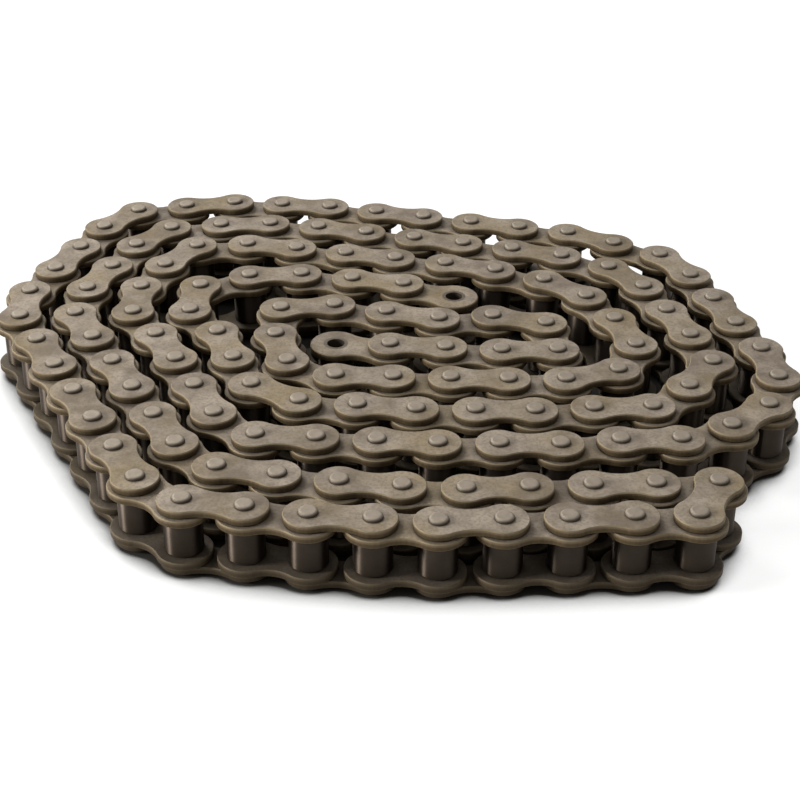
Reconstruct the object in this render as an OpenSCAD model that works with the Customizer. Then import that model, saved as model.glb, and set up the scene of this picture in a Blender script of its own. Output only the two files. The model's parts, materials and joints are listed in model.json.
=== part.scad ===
// Roller chain, single strand, riveted, folded in half and laid on its side
// as a flat oval coil. Pins stand upright along +Z. The origin is on the
// table, under the middle of the coil. Millimetres.

/* [Chain] */
// Distance between neighbouring pin centres
pitch = 19.05; // [18:0.05:26]
// Clear width between the inner plates
inner_width = 12.7; // [9:0.1:16]
// Thickness of every link plate
plate_t = 2.42; // [1.5:0.01:3.2]
// Gap between an inner plate and the outer plate beside it
side_play = 0.15; // [0.1:0.01:0.4]

/* [Plates] */
// Inner plate height over its round ends, as a share of the pitch
inner_high = 0.92; // [0.8:0.01:0.93]
// Inner plate height at its waist, as a share of the pitch
inner_waist = 0.66; // [0.55:0.01:0.74]
// Outer plate height over its round ends, as a share of the pitch
outer_high = 0.79; // [0.7:0.01:0.9]
// Outer plate height at its waist, as a share of the pitch
outer_waist = 0.56; // [0.5:0.01:0.66]
// Width of the broken edge all round a plate
plate_edge = 0.3; // [0.1:0.05:0.4]

/* [Pins, bushes and rollers] */
// Pin diameter
pin_d = 5.94; // [4.5:0.02:6.6]
// How far riveting has spread the pin end, on the radius
rivet_spread = 0.12; // [0.06:0.02:0.8]
// How far the riveted pin end stands above the outer plate
rivet_h = 1.1; // [0.6:0.05:1.6]
// Width of the round that leads from the riveted pin end's side to its top
rivet_round = 1; // [0.3:0.05:1.6]
// Height of the straight foot under that round
rivet_foot = 0.2; // [0.1:0.05:0.4]
// Wall of the bush
bush_wall = 1.18; // [0.9:0.01:1.3]
// Roller outside diameter
roller_d = 11.91; // [11.2:0.01:12.6]
// Radial clearance of the pin in its bush
pin_play = 0.05; // [0.02:0.01:0.09]
// Radial clearance of the roller on its bush
roller_play = 0.06; // [0.02:0.01:0.09]
// End clearance of the roller at each inner plate
roller_end = 0.1; // [0.05:0.01:0.25]
// Chamfer at the rims of a roller
roller_chamfer = 0.5; // [0.2:0.05:0.9]

/* [Layout] */
// Heading of the folded end link, seen from above
fold_heading = 64; // [62:0.5:72]

/* [Hidden] */
$fn = 96;

// Route of the coil, set by hand, in pitches. Strand a is the outer one, from the
// fold to its free end in the middle.
route_a = [
  [4.6, -3.15], [0.6, -3.42], [-0.4, -3.36], [-1.4, -3.25], [-3.35, -2.9], [-4.15, -2.3],
  [-7, 3], [-7, 4], [-6, 6.9], [-5.4, 7.7], [-3.4, 8.1], [-1.4, 7.9],
  [3.5, 6.75], [5.2, 5.75], [5.65, 4.8], [6.2, 2.85], [6.5, 1.9], [6.6, 0.9],
  [6.2, 0], [5.4, -0.65], [4.5, -1.05], [3.5, -1.05], [2.6, -1.2], [0.6, -1.2],
  [-2.4, -1], [-3.1, -0.35], [-4.25, 2.1], [-4.95, 3.2], [-4.95, 4.15], [-4.3, 5.95],
  [-3.35, 6.15], [-2.4, 6], [1.5, 5.2], [2.6, 4.75], [3.35, 4.3], [3.75, 3.5],
  [4.2, 2.6], [4.25, 1.75], [3.65, 1.05], [2.6, 0.85], [-1.2, 0.95], [-2, 1.45],
  [-2.5, 3.3], [-1.6, 3.65], [-0.65, 3.4], [1.2, 2.95], [2.15, 3.4], [2.85, 2.75],
  [2.8, 1.85], [1.9, 1.9], [-0.05, 2.05], [-5, 3.1]];
// Strand b lies inside strand a, and its first links run parallel to those of a.
route_b = [
  [-0.9, -2.35], [-2.85, -2], [-3.55, -1.45], [-5.45, 2.1], [-6, 2.95], [-6, 3.95],
  [-5, 6.75], [-3, 7.1], [-2, 7], [2.85, 5.85], [3.75, 5.45], [4.5, 4.9],
  [4.75, 3.95], [5.1, 3.1], [5.6, 1.25], [4.85, 0.6], [4.2, -0.05], [3.25, -0.05],
  [2.25, -0.15], [0.25, -0.15], [-1.75, 0.1], [-2.6, 0.65], [-3.35, 2.55], [-3.95, 3.35],
  [-3.95, 4.2], [-3.1, 4.7], [-2.1, 4.85], [-0.15, 4.5], [4, 3.3]];
links_a = 83;   // number of links in strand a
links_b = 49;   // number of links in strand b
loop_n = 5;     // number of links of each strand in the loop that swings out
side_n = 6;     // number of rollers of strand a after the loop, each on its own
end_n = 2;      // number of links at each free end that turn by themselves
last_a = links_a - end_n - 1;   // last link of strand a that stays as laid
last_b = links_b - end_n - 1;   // last link of strand b that stays as laid
waist_ease = 1.02;   // round of the waist, against the one that just meets the ends
cut_over = 1;        // how far a cutter runs past the faces that it cuts
round_step = 18;     // degrees between the points of a pin end's round

// Next pin: where a circle of one pitch about p cuts the line from a to b
function cut(p, a, b) = let (d = b - a, e = a - p, k = d * e, m = d * d)
  a + d * ((-k + sqrt(k * k - m * (e * e - 1))) / m);
// Index of the route line on which the next pin lies
function line_at(p, r, i) = norm(r[i + 1] - p) < 1 ? line_at(p, r, i + 1) : i;
// Pins stepped off along a route, one pitch apart
function step_off(p, r, n, i = 0) = n == 0 ? [p] :
  let (j = line_at(p, r, i)) concat([p], step_off(cut(p, r[j], r[j + 1]), r, n - 1, j));

fold = [cos(fold_heading), sin(fold_heading)];
laid_a = step_off(route_a[0], route_a, links_a);
laid_b = concat([for (k = [0:loop_n - 1]) laid_a[k] + fold],
  step_off(laid_a[loop_n] + fold, concat([laid_a[loop_n] + fold], route_b), links_b - loop_n));
laid = concat(laid_a, laid_b);
mid = [for (c = [0, 1]) (min([for (p = laid) p[c]]) + max([for (p = laid) p[c]])) / 2];
pin_a = [for (p = laid_a) (p - mid) * pitch];
pin_b = [for (p = laid_b) (p - mid) * pitch];

// Heights from the table up
z_outer_low = rivet_h;
z_inner_low = z_outer_low + plate_t + side_play;
z_space = z_inner_low + plate_t;
z_inner_up = z_space + inner_width;
z_outer_up = z_inner_up + plate_t + side_play;
z_top = z_outer_up + plate_t + rivet_h;

bush_bore = pin_d + 2 * pin_play;
bush_d = bush_bore + 2 * bush_wall;
roller_bore = bush_d + 2 * roller_play;
bush_len = inner_width + 2 * plate_t;
roller_len = inner_width - 2 * roller_end;

// Places a link drawn along +X from the pin at p towards the pin at q
module along(p, q) {
  translate([p[0], p[1], 0]) rotate([0, 0, atan2(q[1] - p[1], q[0] - p[0])]) children();
}

// Round end of a plate, with its edges broken
module plate_end(r) rotate_extrude() polygon([[0, 0], [r - plate_edge, 0], [r, plate_edge],
  [r, plate_t - plate_edge], [r - plate_edge, plate_t], [0, plate_t]]);

// Cutter for one side of the waist, which breaks its edges too
module waist_cut(r) rotate_extrude() polygon([[0, -plate_edge], [r + 2 * plate_edge, -plate_edge],
  [r, plate_edge], [r, plate_t - plate_edge], [r + 2 * plate_edge, plate_t + plate_edge],
  [0, plate_t + plate_edge]]);

// Waisted link plate with its two holes, lying at height z
module plate(z, high, waist, hole_d) {
  end_r = high * pitch / 2;
  waist_h = waist * pitch / 2;
  side = pitch / 2;
  // round that would just meet the two ends; the real one runs a little way into them
  free_r = (side * side + waist_h * waist_h - end_r * end_r) / (2 * (end_r - waist_h));
  waist_r = waist_ease * free_r;
  // half the width of the middle, up to where the waist runs into the ends
  half_w = (end_r - plate_edge / 2) * (waist_h + waist_r) / norm([side, waist_h + waist_r]);
  translate([0, 0, z]) difference() {
    union() {
      for (x = [0, pitch]) translate([x, 0, 0]) plate_end(end_r);
      difference() {
        translate([0, -half_w, 0]) cube([pitch, 2 * half_w, plate_t]);
        for (s = [-1, 1]) translate([side, s * (waist_h + waist_r), 0]) waist_cut(waist_r);
      }
    }
    for (x = [0, pitch]) translate([x, 0, -cut_over])
      cylinder(h = plate_t + 2 * cut_over, d = hole_d);
  }
}

// Outer plates are pressed on the pins, inner ones on the bushes
module outer_plate(z) color("#978c7c") plate(z, outer_high, outer_waist, pin_d);
module inner_plate(z) color("#8d8373") plate(z, inner_high, inner_waist, bush_d);

// Pin, whose ends are spread by riveting over the outer plates and rounded off
module pin() {
  shank_r = pin_d / 2;
  spread_r = shank_r + rivet_spread;
  corner_r = spread_r - rivet_round;
  round_h = rivet_h - rivet_foot;
  low_round = [for (a = [-90:round_step:0])
    [corner_r + rivet_round * cos(a), round_h * (1 + sin(a))]];
  high_round = [for (a = [0:round_step:90])
    [corner_r + rivet_round * cos(a), z_top - round_h * (1 - sin(a))]];
  color("#b3a895") rotate_extrude() polygon(concat([[0, 0]], low_round,
    [[spread_r, rivet_h], [shank_r, rivet_h], [shank_r, z_top - rivet_h], [spread_r, z_top - rivet_h]],
    high_round, [[0, z_top]]));
}

// Bush, pressed into the inner plates and flush with them
module bush() color("#6f675c") translate([0, 0, z_inner_low]) difference() {
  cylinder(h = bush_len, d = bush_d);
  translate([0, 0, -cut_over]) cylinder(h = bush_len + 2 * cut_over, d = bush_bore);
}

// Roller, free to turn on its bush between the inner plates
module roller() {
  bore_r = roller_bore / 2;
  out_r = roller_d / 2;
  face_r = out_r - roller_chamfer;
  color("#3a332d") translate([0, 0, z_space + roller_end]) rotate_extrude()
    polygon([[bore_r, 0], [face_r, 0], [out_r, roller_chamfer],
      [out_r, roller_len - roller_chamfer], [face_r, roller_len], [bore_r, roller_len]]);
}

// A piece at the second pin of a link, and one at both pins
module far() translate([pitch, 0, 0]) children();
module both() { children(); far() children(); }

// Every second link of a strand, from its link number first on: inner links have
// even numbers, outer links odd ones
module laid_links(pins, first, last) {
  for (k = [first:2:last]) along(pins[k], pins[k + 1]) children();
}
// Outer and inner links that stay as laid
module laid_outer() {
  laid_links(pin_a, loop_n, last_a) children();
  laid_links(pin_b, loop_n, last_b) children();
}
module laid_inner() {
  laid_links(pin_a, loop_n + 1, last_a) children();
  laid_links(pin_b, loop_n + 1, last_b) children();
}

module outer_plates_upper() laid_outer() outer_plate(z_outer_up);
module outer_plates_lower() laid_outer() outer_plate(z_outer_low);
module inner_plates_upper() laid_inner() inner_plate(z_inner_up);
module inner_plates_lower() laid_inner() inner_plate(z_inner_low);
module pins() laid_outer() both() pin();
module bushes() laid_inner() both() bush();
module rollers() {
  laid_links(pin_a, loop_n + 1 + side_n, last_a) both() roller();
  laid_links(pin_b, loop_n + 1, last_b) both() roller();
}

// Pieces of one link that moves by itself, drawn in the link's own place
module two_outer() { outer_plate(z_outer_up); outer_plate(z_outer_low); }
module two_inner() { inner_plate(z_inner_up); inner_plate(z_inner_low); }

// Link k of the loop: link 1 is next to the fold
module loop_a(k) along(pin_a[k], pin_a[k - 1]) children();
module loop_b(k) along(pin_b[k], pin_b[k - 1]) children();
// Link k from a free end: link 1 is the last
module end_a(k) along(pin_a[links_a - k], pin_a[links_a - k + 1]) children();
module end_b(k) along(pin_b[links_b - k], pin_b[links_b - k + 1]) children();
// Roller n of the laid run just after the loop
module side_at(n) let (k = loop_n + 1 + 2 * floor((n - 1) / 2))
  along(pin_a[k], pin_a[k + 1]) translate([((n - 1) % 2) * pitch, 0, 0]) children();
// The outer link that joins the two strands
module fold_link() along(pin_a[0], pin_b[0]) children();

outer_plates_upper();
outer_plates_lower();
inner_plates_upper();
inner_plates_lower();
pins();
bushes();
rollers();
fold_link() two_outer();  // fold_plates
fold_link() both() pin();  // fold_pins
loop_a(1) two_inner();  // loop_a1_plates
loop_a(1) both() bush();  // loop_a1_bushes
loop_a(1) roller();  // loop_a1_roller_1
loop_a(1) far() roller();  // loop_a1_roller_2
loop_a(2) two_outer();  // loop_a2_plates
loop_a(2) both() pin();  // loop_a2_pins
loop_a(3) two_inner();  // loop_a3_plates
loop_a(3) both() bush();  // loop_a3_bushes
loop_a(3) roller();  // loop_a3_roller_1
loop_a(3) far() roller();  // loop_a3_roller_2
loop_a(4) two_outer();  // loop_a4_plates
loop_a(4) both() pin();  // loop_a4_pins
loop_a(5) two_inner();  // loop_a5_plates
loop_a(5) both() bush();  // loop_a5_bushes
loop_a(5) roller();  // loop_a5_roller_1
loop_a(5) far() roller();  // loop_a5_roller_2
loop_b(1) two_inner();  // loop_b1_plates
loop_b(1) both() bush();  // loop_b1_bushes
loop_b(1) roller();  // loop_b1_roller_1
loop_b(1) far() roller();  // loop_b1_roller_2
loop_b(2) two_outer();  // loop_b2_plates
loop_b(2) both() pin();  // loop_b2_pins
loop_b(3) two_inner();  // loop_b3_plates
loop_b(3) both() bush();  // loop_b3_bushes
loop_b(3) roller();  // loop_b3_roller_1
loop_b(3) far() roller();  // loop_b3_roller_2
loop_b(4) two_outer();  // loop_b4_plates
loop_b(4) both() pin();  // loop_b4_pins
loop_b(5) two_inner();  // loop_b5_plates
loop_b(5) both() bush();  // loop_b5_bushes
loop_b(5) roller();  // loop_b5_roller_1
loop_b(5) far() roller();  // loop_b5_roller_2
end_a(1) two_inner();  // end_a1_plates
end_a(1) both() bush();  // end_a1_bushes
end_a(1) roller();  // end_a1_roller_1
end_a(1) far() roller();  // end_a1_roller_2
end_a(2) two_outer();  // end_a2_plates
end_a(2) both() pin();  // end_a2_pins
end_b(1) two_inner();  // end_b1_plates
end_b(1) both() bush();  // end_b1_bushes
end_b(1) roller();  // end_b1_roller_1
end_b(1) far() roller();  // end_b1_roller_2
end_b(2) two_outer();  // end_b2_plates
end_b(2) both() pin();  // end_b2_pins
side_at(1) roller();  // side_roller_1
side_at(2) roller();  // side_roller_2
side_at(3) roller();  // side_roller_3
side_at(4) roller();  // side_roller_4
side_at(5) roller();  // side_roller_5
side_at(6) roller();  // side_roller_6
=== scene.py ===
# %% [markdown]
# A roller chain, coiled on a table
#
# This lesson dresses a steel roller chain for a studio picture. The chain's
# plates, pins, bushes and rollers come ready made from the drawing office as a
# fixed frame, in metres, so nothing here moves or resizes them. What is left to
# do is what the eye reads as steel: colour, polish, grain, oil, and the light.

# %% Load the frame
import json
import math

import bpy
from mathutils import Matrix, Vector


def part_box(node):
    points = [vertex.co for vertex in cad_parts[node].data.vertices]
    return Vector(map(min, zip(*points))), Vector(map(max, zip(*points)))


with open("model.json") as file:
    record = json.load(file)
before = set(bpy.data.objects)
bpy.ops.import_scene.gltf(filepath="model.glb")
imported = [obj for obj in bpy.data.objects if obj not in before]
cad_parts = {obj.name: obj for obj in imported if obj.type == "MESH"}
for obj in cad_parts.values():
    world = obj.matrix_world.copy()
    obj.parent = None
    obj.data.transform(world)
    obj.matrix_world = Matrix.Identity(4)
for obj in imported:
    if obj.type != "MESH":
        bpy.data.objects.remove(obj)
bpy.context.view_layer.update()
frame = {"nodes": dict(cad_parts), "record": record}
MM = 0.001
print("pieces in the frame:", len(frame["nodes"]))

# %% [markdown]
# Helpers
#
# A colour is easiest to read off a photograph as an sRGB hex value, but light
# adds up in linear values, so one function turns the first into the second.
# A second function adds a node to a material, sets what is fixed and links what
# comes from another node. A third one starts an empty material. Everything below
# is made with these.

# %% Colour and node helpers


def linear(hex_colour):
    """The linear RGBA of an sRGB colour such as "#9a8f80"."""
    parts = [int(hex_colour[i:i + 2], 16) / 255 for i in (1, 3, 5)]
    return [c / 12.92 if c <= 0.04045 else ((c + 0.055) / 1.055) ** 2.4 for c in parts] + [1.0]


def add(tree, kind, sockets=None, **settings):
    """One new node: settings are its own choices, sockets its inputs, each a value, an output or a
    node, whose first output in use is then taken."""
    node = tree.nodes.new(kind)
    for name, value in settings.items():
        setattr(node, name, value)
    for name, value in (sockets or {}).items():
        if isinstance(value, bpy.types.Node):
            value = next(s for s in value.outputs if s.enabled)
        plug = node.inputs[name] if isinstance(name, int) else next(
            s for s in node.inputs if s.name == name and s.enabled)
        if isinstance(value, bpy.types.NodeSocket):
            tree.links.new(value, plug)
        else:
            plug.default_value = value
    return node


def new_material(name):
    """An empty node material and its tree."""
    material = bpy.data.materials.new(name)
    material.use_nodes = True
    material.node_tree.nodes.clear()
    return material, material.node_tree


steels = {}
print("light grey in linear values:", [round(c, 3) for c in linear("#9a8f80")])

# %% [markdown]
# Painted shade
#
# A chain is stored wet with oil. The corners between its pieces are painted
# darker, as the shade that falls there. How dark a point gets is a matter of how
# closed in it is, so it is found by looking round from the point: the fewer
# directions are free within a few millimetres, the darker it gets. The lower half
# of the chain is painted darker too, as the shade of the upper plates. All four
# steels share it.

# %% Painted shade in the corners and low down
PAINTED_SHADE = linear("#31281c")
CLOSED_IN = 0.25     # a point with this share of its view free gets the most painted shade
UNSHADED_FROM = 0.85         # from this share on, it gets no painted shade
# the lower half is painted darker, as shade: fully up to the lower plates' tops, not at all from the upper
# plates' undersides
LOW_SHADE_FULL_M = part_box("inner_plates_lower")[1][2]
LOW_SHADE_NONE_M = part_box("inner_plates_upper")[0][2]
LOW_SHADE_DEPTH = 0.6


def with_painted_shade(tree, colour, reach_mm, depth):
    """The colour with painted shade where other pieces close it in within reach_mm, by depth at the most,
    and low down.
    """
    free = add(tree, "ShaderNodeAmbientOcclusion", {"Distance": reach_mm * MM}, samples=8)
    closed = add(tree, "ShaderNodeMapRange", {
        "Value": free.outputs["AO"], "From Min": CLOSED_IN, "From Max": UNSHADED_FROM,
        "To Min": depth, "To Max": 0.0})
    corner_shaded = add(tree, "ShaderNodeMix", {"Factor": closed, "A": colour, "B": PAINTED_SHADE}, data_type="RGBA")
    here = add(tree, "ShaderNodeTexCoord").outputs["Object"]
    height = add(tree, "ShaderNodeSeparateXYZ", {"Vector": here}).outputs["Z"]
    low_shaded = add(tree, "ShaderNodeMapRange", {
        "Value": height, "From Min": LOW_SHADE_FULL_M, "From Max": LOW_SHADE_NONE_M,
        "To Min": LOW_SHADE_DEPTH, "To Max": 0.0})
    return add(tree, "ShaderNodeMix", {"Factor": low_shaded, "A": corner_shaded, "B": PAINTED_SHADE}, data_type="RGBA")


# between these heights the painted shade of the lower half fades out
print("oil runs down from", round(LOW_SHADE_NONE_M / MM, 1), "to", round(LOW_SHADE_FULL_M / MM, 1), "mm")

# %% [markdown]
# Link plates: hardened strip steel, shot-peened and oiled
#
# A plate is blanked from carbon steel strip, hardened, and peened with steel
# shot, which leaves a fine pebbled skin that scatters light softly. Tempering
# turns it straw to brown, and no two plates come out alike, so one slow pattern
# makes some links lighter than others. Another one lays oil stains over them.

# %% Plate faces
PEEN_MM = 0.9        # shot marks are about half this wide; drawn coarser so that they show
CLOUD_MM = 7.0       # tempering colours drift over about half a plate
BATCH_MM = 30.0      # whole links are lighter or darker than the next
STAIN_MM = 24.0      # oil stains reach over a link or two
NOISE_LOW, NOISE_HIGH = 0.3, 0.7     # nearly all of a noise pattern lies between these
BATCH_SPREAD = 0.35                  # how far a link's tone may lie from the middle one
STAIN_FROM, STAIN_DEPTH = 0.45, 0.6
PIT_FULL, PIT_NONE, PIT_DEPTH = 0.35, 0.55, 0.4


def plate_face(tree, here, cloud, peen):
    """The colour of a plate's flat faces: tempering clouds, oil stains and shot marks."""
    batch = add(tree, "ShaderNodeTexNoise", {"Vector": here, "Scale": 1 / (BATCH_MM * MM), "Detail": 1.0})
    own_tone = add(tree, "ShaderNodeMapRange", {
        "Value": batch, "From Min": NOISE_LOW, "From Max": NOISE_HIGH,
        "To Min": -BATCH_SPREAD, "To Max": BATCH_SPREAD})
    drift = add(tree, "ShaderNodeMapRange", {"Value": cloud, "From Min": NOISE_LOW, "From Max": NOISE_HIGH})
    tone = add(tree, "ShaderNodeMath", {0: drift, 1: own_tone}, operation="ADD", use_clamp=True)
    tempered = add(tree, "ShaderNodeMix", {
        "Factor": tone, "A": linear("#75695b"), "B": linear("#9b8f80")}, data_type="RGBA")
    stain = add(tree, "ShaderNodeTexNoise", {"Vector": here, "Scale": 1 / (STAIN_MM * MM), "Detail": 3.0})
    brown = add(tree, "ShaderNodeMapRange", {
        "Value": stain, "From Min": STAIN_FROM, "From Max": NOISE_HIGH, "To Max": STAIN_DEPTH})
    stained = add(tree, "ShaderNodeMix", {
        "Factor": brown, "A": tempered, "B": linear("#84734f")}, data_type="RGBA")
    pit = add(tree, "ShaderNodeMapRange", {
        "Value": peen, "From Min": PIT_FULL, "From Max": PIT_NONE, "To Min": PIT_DEPTH, "To Max": 0.0})
    return add(tree, "ShaderNodeMix", {
        "Factor": pit, "A": stained, "B": linear("#5f5547")}, data_type="RGBA")


print("shot marks of", PEEN_MM, "mm, clouds of", CLOUD_MM, "mm")

# %% [markdown]
# The plates' cut sides
#
# A blanked edge has two bands. The punch first shears a smooth land, which stays
# bright, and then the steel breaks, which leaves a rough, dark zone that holds
# oil. Both bands are also painted darker than the faces, as the shade on the
# sides. Which band a point lies in is read from its height in its own plate. The
# plates lie in two pairs, so the height starts again at each underside.

# %% Cut sides
LOW_M, low_top_m = (corner[2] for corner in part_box("outer_plates_lower"))
HIGH_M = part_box("inner_plates_upper")[0][2]
PLATE_M = low_top_m - LOW_M
STEP_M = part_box("inner_plates_lower")[0][2] - LOW_M
SHEAR_MM = 0.8       # shear marks are finer; drawn coarser so that they show
SHEAR_DRAW = 0.1     # they run ten times as far down the side as along it
LAND_FROM, LAND_FULL = 0.5, 0.75     # where up the side the land begins and is whole


def height_in_plate(tree, here):
    """0 at the underside of the plate that a point lies in, 1 at its upper face."""
    z = add(tree, "ShaderNodeSeparateXYZ", {"Vector": here}).outputs["Z"]
    is_high = add(tree, "ShaderNodeMath", {0: z, 1: (LOW_M + HIGH_M) / 2}, operation="GREATER_THAN")
    base = add(tree, "ShaderNodeMapRange", {"Value": is_high, "To Min": LOW_M, "To Max": HIGH_M})
    above = add(tree, "ShaderNodeMath", {0: z, 1: base}, operation="SUBTRACT")
    within = add(tree, "ShaderNodeMath", {0: above, 1: STEP_M}, operation="MODULO")
    return add(tree, "ShaderNodeMath", {0: within, 1: PLATE_M}, operation="DIVIDE")


def plate_side(tree, here):
    """The colour of a plate's cut side: the torn zone below, the shorn land above, both painted darker as
    shade.
    """
    drawn = add(tree, "ShaderNodeMapping", {"Vector": here, "Scale": (1.0, 1.0, SHEAR_DRAW)})
    shear = add(tree, "ShaderNodeTexNoise", {"Vector": drawn, "Scale": 1 / (SHEAR_MM * MM), "Detail": 2.0})
    land = add(tree, "ShaderNodeMapRange", {
        "Value": height_in_plate(tree, here), "From Min": LAND_FROM, "From Max": LAND_FULL})
    # painted shade: both bands are darker than the plate's faces
    torn = add(tree, "ShaderNodeMix", {
        "Factor": shear, "A": linear("#3a2e1b"), "B": linear("#5c4b30")}, data_type="RGBA")
    shorn = add(tree, "ShaderNodeMix", {
        "Factor": shear, "A": linear("#605140"), "B": linear("#7e6e54")}, data_type="RGBA")
    return add(tree, "ShaderNodeMix", {"Factor": land, "A": torn, "B": shorn}, data_type="RGBA")


print("plates of", round(PLATE_M / MM, 2), "mm, one every", round(STEP_M / MM, 2), "mm")

# %% [markdown]
# The whole plate
#
# The broken edges between face and side are painted lighter, as a highlight.
# Whether a point is on a face, an edge or a side is read from the way it looks:
# up or down, in between, or sideways. Peened steel is a rough metal, and oil and
# temper take more of its mirror away, so it is only half metallic.

# %% Plate steel
RIM_FROM, RIM_FULL = 0.45, 0.65      # how level a point is where the broken edge begins
FLAT_FROM, FLAT_FULL = 0.8, 0.97     # and where the flat face begins
PEEN_DEEP_MM = 0.12


def plate_steel():
    """Faces, broken edges and cut sides in one steel."""
    material, tree = new_material("peened_plate_steel")
    here = add(tree, "ShaderNodeTexCoord").outputs["Object"]
    cloud = add(tree, "ShaderNodeTexNoise", {"Vector": here, "Scale": 1 / (CLOUD_MM * MM), "Detail": 4.0})
    peen = add(tree, "ShaderNodeTexNoise", {"Vector": here, "Scale": 1 / (PEEN_MM * MM), "Detail": 2.0})
    normal = add(tree, "ShaderNodeNewGeometry").outputs["Normal"]
    upright = add(tree, "ShaderNodeSeparateXYZ", {"Vector": normal}).outputs["Z"]
    level = add(tree, "ShaderNodeMath", {0: upright}, operation="ABSOLUTE")
    is_rim = add(tree, "ShaderNodeMapRange", {"Value": level, "From Min": RIM_FROM, "From Max": RIM_FULL})
    is_flat = add(tree, "ShaderNodeMapRange", {"Value": level, "From Min": FLAT_FROM, "From Max": FLAT_FULL})
    # painted highlight: the broken edges between face and side are lighter
    cut = add(tree, "ShaderNodeMix", {
        "Factor": is_rim, "A": plate_side(tree, here), "B": linear("#80725a")}, data_type="RGBA")
    unshaded = add(tree, "ShaderNodeMix", {
        "Factor": is_flat, "A": cut, "B": plate_face(tree, here, cloud, peen)}, data_type="RGBA")
    rough = add(tree, "ShaderNodeMapRange", {"Value": cloud, "To Min": 0.78, "To Max": 0.62})
    bump = add(tree, "ShaderNodeBump", {"Height": peen, "Strength": 0.5, "Distance": PEEN_DEEP_MM * MM})
    # painted shade in the corners and low down
    steel = add(tree, "ShaderNodeBsdfPrincipled", {
        "Base Color": with_painted_shade(tree, unshaded, 4.0, 0.7), "Metallic": 0.55, "Roughness": rough, "Normal": bump})
    add(tree, "ShaderNodeOutputMaterial", {"Surface": steel})
    return material


steels["plates"] = plate_steel()
print("plate steel:", len(steels["plates"].node_tree.nodes), "nodes")

# %% [markdown]
# Pins: case-hardened alloy steel, riveted
#
# A pin's end is spread over the plate by a rolling tool, so its crown is
# smoother and a little brighter than the plate. Its round flank and its foot are
# painted darker, as the shade that falls there. Its turning rings are too small
# to see one by one.

# %% Pin steel
CROWN_MM = 2.5       # shade drifts over about half a crown
CROWN_DEEP_MM = 0.1
FLANK_FULL, FLANK_NONE, FLANK_DEPTH = 0.5, 0.95, 0.8     # from how level the crown is


def pin_steel():
    """A smooth crown with painted shade on its flank."""
    material, tree = new_material("riveted_pin_steel")
    here = add(tree, "ShaderNodeTexCoord").outputs["Object"]
    drift = add(tree, "ShaderNodeTexNoise", {"Vector": here, "Scale": 1 / (CROWN_MM * MM), "Detail": 3.0})
    peen = add(tree, "ShaderNodeTexNoise", {"Vector": here, "Scale": 1 / (PEEN_MM * MM), "Detail": 2.0})
    crown = add(tree, "ShaderNodeMix", {
        "Factor": drift, "A": linear("#7a6f61"), "B": linear("#9b9081")}, data_type="RGBA")
    normal = add(tree, "ShaderNodeNewGeometry").outputs["Normal"]
    upright = add(tree, "ShaderNodeSeparateXYZ", {"Vector": normal}).outputs["Z"]
    level = add(tree, "ShaderNodeMath", {0: upright}, operation="ABSOLUTE")
    # painted shade: the crown's round flank is darker the more it slopes
    flank = add(tree, "ShaderNodeMapRange", {
        "Value": level, "From Min": FLANK_FULL, "From Max": FLANK_NONE,
        "To Min": FLANK_DEPTH, "To Max": 0.0})
    flank_shaded = add(tree, "ShaderNodeMix", {"Factor": flank, "A": crown, "B": PAINTED_SHADE}, data_type="RGBA")
    bump = add(tree, "ShaderNodeBump", {"Height": peen, "Strength": 0.2, "Distance": CROWN_DEEP_MM * MM})
    # the crown also gets painted shade at its foot
    steel = add(tree, "ShaderNodeBsdfPrincipled", {
        "Base Color": with_painted_shade(tree, flank_shaded, 2.0, 1.0), "Metallic": 0.6, "Roughness": 0.6, "Normal": bump})
    add(tree, "ShaderNodeOutputMaterial", {"Surface": steel})
    return material


steels["pins"] = pin_steel()
print("pin steel:", len(steels["pins"].node_tree.nodes), "nodes")

# %% [markdown]
# Rollers: carburised steel, turned and wet with oil
#
# A roller comes out of hardening almost black. Turning leaves fine grooves round
# it, and grooves spread a highlight across themselves, so a lamp shows as one
# upright streak along the roller, as on a brushed saucepan. That is what the
# shader's anisotropy does, along the direction given as its tangent.

# %% Roller steel
TURNING_MM = 0.7     # turning marks are finer; drawn coarser so that they show
TURNING_DEEP_MM = 0.1
SMEAR_MM = 6.0       # oil smears are about half a roller wide


def roller_steel():
    """Dark turned steel under a smear of oil."""
    material, tree = new_material("oiled_roller_steel")
    here = add(tree, "ShaderNodeTexCoord").outputs["Object"]
    smear = add(tree, "ShaderNodeTexNoise", {"Vector": here, "Scale": 1 / (SMEAR_MM * MM), "Detail": 4.0})
    height = add(tree, "ShaderNodeSeparateXYZ", {"Vector": here}).outputs["Z"]
    rings = add(tree, "ShaderNodeTexNoise", {"W": height, "Scale": 1 / (TURNING_MM * MM), "Detail": 2.0},
                noise_dimensions="1D")
    oil_and_shade = add(tree, "ShaderNodeMix", {
        "Factor": smear, "A": linear("#40372f"), "B": linear("#5c5249")}, data_type="RGBA")
    rough = add(tree, "ShaderNodeMapRange", {"Value": smear, "To Min": 0.54, "To Max": 0.62})
    bump = add(tree, "ShaderNodeBump", {"Height": rings, "Strength": 0.1, "Distance": TURNING_DEEP_MM * MM})
    axis = add(tree, "ShaderNodeCombineXYZ", {"Z": 1.0})
    # painted shade in the corners and low down
    steel = add(tree, "ShaderNodeBsdfPrincipled", {
        "Base Color": with_painted_shade(tree, oil_and_shade, 5.0, 0.55), "Metallic": 0.85, "Roughness": rough,
        "Anisotropic": 1.0, "Tangent": axis, "Normal": bump})
    add(tree, "ShaderNodeOutputMaterial", {"Surface": steel})
    return material


steels["rollers"] = roller_steel()
print("roller steel:", len(steels["rollers"].node_tree.nodes), "nodes")

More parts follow.
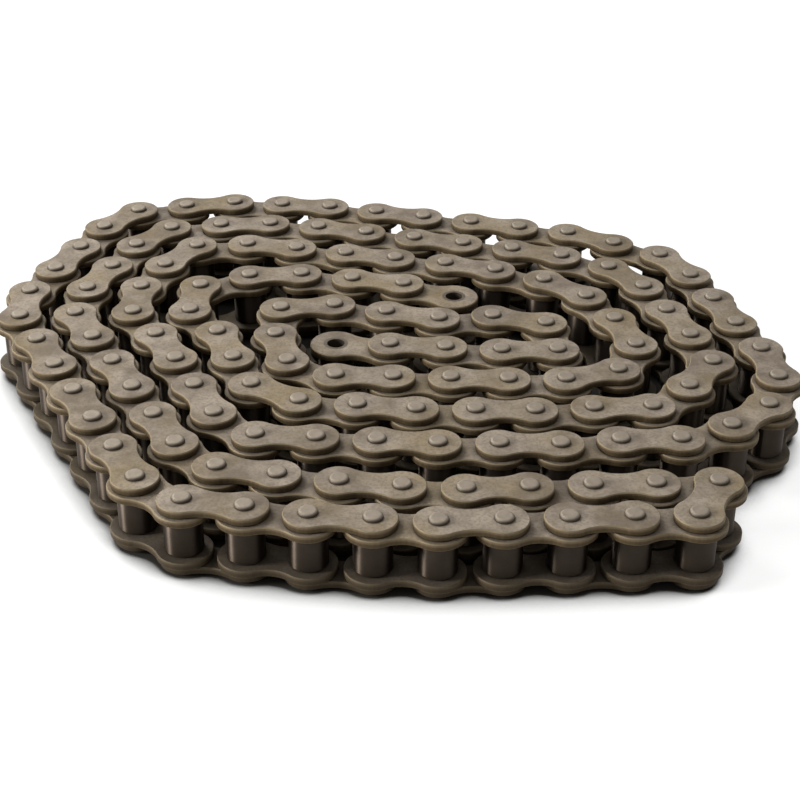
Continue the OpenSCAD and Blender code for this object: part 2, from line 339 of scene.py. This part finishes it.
# %% [markdown]
# Bushes: drawn steel tube
#
# A bush shows only as a ring in the end links' holes and as a wall inside, which
# is painted dark as shade. It is dark drawn steel, so its marks run along the tube.

# %% Bush steel
DRAWN_MM = 1.2       # drawing lines are hair-fine; drawn coarser so that they show
DRAWN_LONG = 0.05    # and they run twenty times as far along the tube as round it


def bush_steel():
    """Dark tube with lines along it."""
    material, tree = new_material("drawn_bush_steel")
    here = add(tree, "ShaderNodeTexCoord").outputs["Object"]
    lines = add(tree, "ShaderNodeMapping", {"Vector": here, "Scale": (1.0, 1.0, DRAWN_LONG)})
    drawn = add(tree, "ShaderNodeTexNoise", {"Vector": lines, "Scale": 1 / (DRAWN_MM * MM), "Detail": 3.0})
    tube = add(tree, "ShaderNodeMix", {
        "Factor": drawn, "A": linear("#4f463b"), "B": linear("#83786a")}, data_type="RGBA")
    # painted shade in the corners, deep enough to darken the wall inside
    steel = add(tree, "ShaderNodeBsdfPrincipled", {
        "Base Color": with_painted_shade(tree, tube, 4.0, 0.9), "Metallic": 0.9, "Roughness": 0.38})
    add(tree, "ShaderNodeOutputMaterial", {"Surface": steel})
    return material


steels["bushes"] = bush_steel()
print("bush steel:", len(steels["bushes"].node_tree.nodes), "nodes")

# %% [markdown]
# Dress the pieces
#
# Every piece of the frame names the finish it was drawn with, so the four
# steels go to the pieces by that name.

# %% Assign the steels
slot_of = {part["node"]: part["material_slot"] for part in frame["record"]["subparts"]}
for name, piece in frame["nodes"].items():
    piece.data.materials.clear()
    piece.data.materials.append(steels[slot_of[name]])
print({slot: list(slot_of.values()).count(slot) for slot in steels})

# %% [markdown]
# The table
#
# The chain lies on a white table that runs out of the picture. Its paper takes
# the chain's soft shadow like any matt surface. A glow, seen only by the camera
# and in reflections, lifts the open paper to white without putting more light on
# the steel. Where the chain closes the paper in, the glow fades as a painted
# shadow and the paper is painted dark as shade, so that it doesn't shine up
# through the gaps.

# %% White table
TABLE_M = 6.0
TABLE_GLOW = 0.82
SHADE_REACH_MM = 60.0
SHADE_FULL, SHADE_NONE = 0.38, 0.66  # the share of a point's view that is free


def seen_directly(tree):
    """1 for what the camera, a mirror or a glass shows, 0 for light that falls on things."""
    path = add(tree, "ShaderNodeLightPath").outputs
    mirror = add(tree, "ShaderNodeMath", {0: path["Is Camera Ray"], 1: path["Is Glossy Ray"]},
                 operation="MAXIMUM")
    return add(tree, "ShaderNodeMath", {0: mirror, 1: path["Is Transmission Ray"]}, operation="MAXIMUM")


paper, tree = new_material("white_table_paper")
around = add(tree, "ShaderNodeAmbientOcclusion", {"Distance": SHADE_REACH_MM * MM}, samples=32)
is_open = add(tree, "ShaderNodeMapRange", {
    "Value": around.outputs["AO"], "From Min": SHADE_FULL, "From Max": SHADE_NONE})
# painted shade: the paper's colour darkens where the chain closes it in
oil_and_shade = add(tree, "ShaderNodeMix", {
    "Factor": is_open, "A": linear("#3a3834"), "B": linear("#8c8c8a")}, data_type="RGBA")
matt = add(tree, "ShaderNodeBsdfDiffuse", {"Color": oil_and_shade})
# painted shadow: the glow fades where the chain closes the paper in
shown = add(tree, "ShaderNodeMath", {0: seen_directly(tree), 1: is_open}, operation="MULTIPLY")
glow_level = add(tree, "ShaderNodeMath", {0: shown, 1: TABLE_GLOW}, operation="MULTIPLY")
glow = add(tree, "ShaderNodeEmission", {"Strength": glow_level})
both = add(tree, "ShaderNodeAddShader", {0: matt, 1: glow})
add(tree, "ShaderNodeOutputMaterial", {"Surface": both})

half = TABLE_M / 2
corners = [(-half, -half, 0), (half, -half, 0), (half, half, 0), (-half, half, 0)]
table_mesh = bpy.data.meshes.new("table")
table_mesh.from_pydata(corners, [], [(0, 1, 2, 3)])
table_mesh.materials.append(paper)
table = bpy.data.objects.new("table", table_mesh)
bpy.context.collection.objects.link(table)
print("table of", TABLE_M, "m")

# %% [markdown]
# The room
#
# The room lights the chain from all round. It is brightest on the upper left,
# where the window is. Along the horizon it is white, where the camera or a
# reflection sees it, so that the table has no far edge.

# %% Room
ROOM_DARK = 0.4
ROOM_BRIGHT = 0.7
WINDOW_SIDE = (-0.75, 0.4, 0.53)
AWAY, FACING = -0.5, 0.9             # how far a direction agrees with the window's
HORIZON = 0.22

room = bpy.data.worlds.new("room")
bpy.context.scene.world = room
room.use_nodes = True
tree = room.node_tree
tree.nodes.clear()
toward = add(tree, "ShaderNodeTexCoord").outputs["Generated"]
to_window = add(tree, "ShaderNodeVectorMath", {0: toward, 1: WINDOW_SIDE}, operation="DOT_PRODUCT")
wall = add(tree, "ShaderNodeMapRange", {
    "Value": to_window.outputs["Value"], "From Min": AWAY, "From Max": FACING,
    "To Min": ROOM_DARK, "To Max": ROOM_BRIGHT})
rise = add(tree, "ShaderNodeSeparateXYZ", {"Vector": toward}).outputs["Z"]
low = add(tree, "ShaderNodeMapRange", {
    "Value": rise, "From Min": HORIZON / 2, "From Max": HORIZON, "To Min": 1.0, "To Max": 0.0})
backdrop = add(tree, "ShaderNodeMath", {0: low, 1: seen_directly(tree)}, operation="MULTIPLY")
strength = add(tree, "ShaderNodeMix", {"Factor": backdrop, "A": wall, "B": 1.0}, data_type="FLOAT")
back = add(tree, "ShaderNodeBackground", {"Color": linear("#ffffff"), "Strength": strength})
add(tree, "ShaderNodeOutputWorld", {"Surface": back})
print("room from", ROOM_DARK, "to", ROOM_BRIGHT)

# %% [markdown]
# Lamps
#
# The photograph shows a pale streak on the left of each roller, so one softbox
# stands low on the left. Each pin end has a dark crescent in front and to the
# right, so the other one stands behind the chain, to the left and well above it.
# Both are far away, so that the near and the far links get the same light.

# %% Softboxes
SOFTBOXES = {        # place and width in metres, and watts
    "softbox_left": ((-3.0, -0.6, 1.05), 0.75, 130.0),
    "softbox_behind": ((-1.5, 2.1, 2.25), 1.25, 60.0),
}
for name, (place, wide, watts) in SOFTBOXES.items():
    lamp = bpy.data.lights.new(name, "AREA")
    lamp.shape = "SQUARE"
    lamp.size = wide
    lamp.energy = watts
    holder = bpy.data.objects.new(name, lamp)
    holder.location = place
    holder.rotation_euler = (-Vector(place)).to_track_quat("-Z", "Y").to_euler()
    bpy.context.collection.objects.link(holder)

# %% [markdown]
# The camera
#
# A chain is a fine ruler: every pin is one pitch from the next. The pins that
# can be seen in the photograph give its lens, its height and its tilt. The
# camera looks down at 31 degrees, a little over half a metre away, through a
# short telephoto lens.

# %% Camera
AIM_MM = (4.0, -44.4, 24.9)      # the point on the pin ends' plane in the middle of the picture
DISTANCE_MM = 546.9
ELEVATION_DEG = 31.04
ROLL_DEG = 0.58
LENS_MM = 76.7
FILM_MM = 36.0
NEAREST_M = 0.01

lens = bpy.data.cameras.new("camera")
lens.lens = LENS_MM
lens.sensor_width = FILM_MM
lens.clip_start = NEAREST_M
camera = bpy.data.objects.new("camera", lens)
tilt = Matrix.Rotation(math.radians(90 - ELEVATION_DEG), 4, "X")
roll = Matrix.Rotation(math.radians(ROLL_DEG), 4, "Z")
stand = Matrix.Translation(Vector(AIM_MM) * MM)
camera.matrix_world = stand @ tilt @ roll @ Matrix.Translation((0, 0, DISTANCE_MM * MM))
bpy.context.collection.objects.link(camera)
bpy.context.scene.camera = camera
print("camera at", [round(c, 3) for c in camera.matrix_world.translation])

# %% [markdown]
# Finish
#
# The picture is shown in plain display values.

bpy.context.scene.view_settings.view_transform = "Standard"
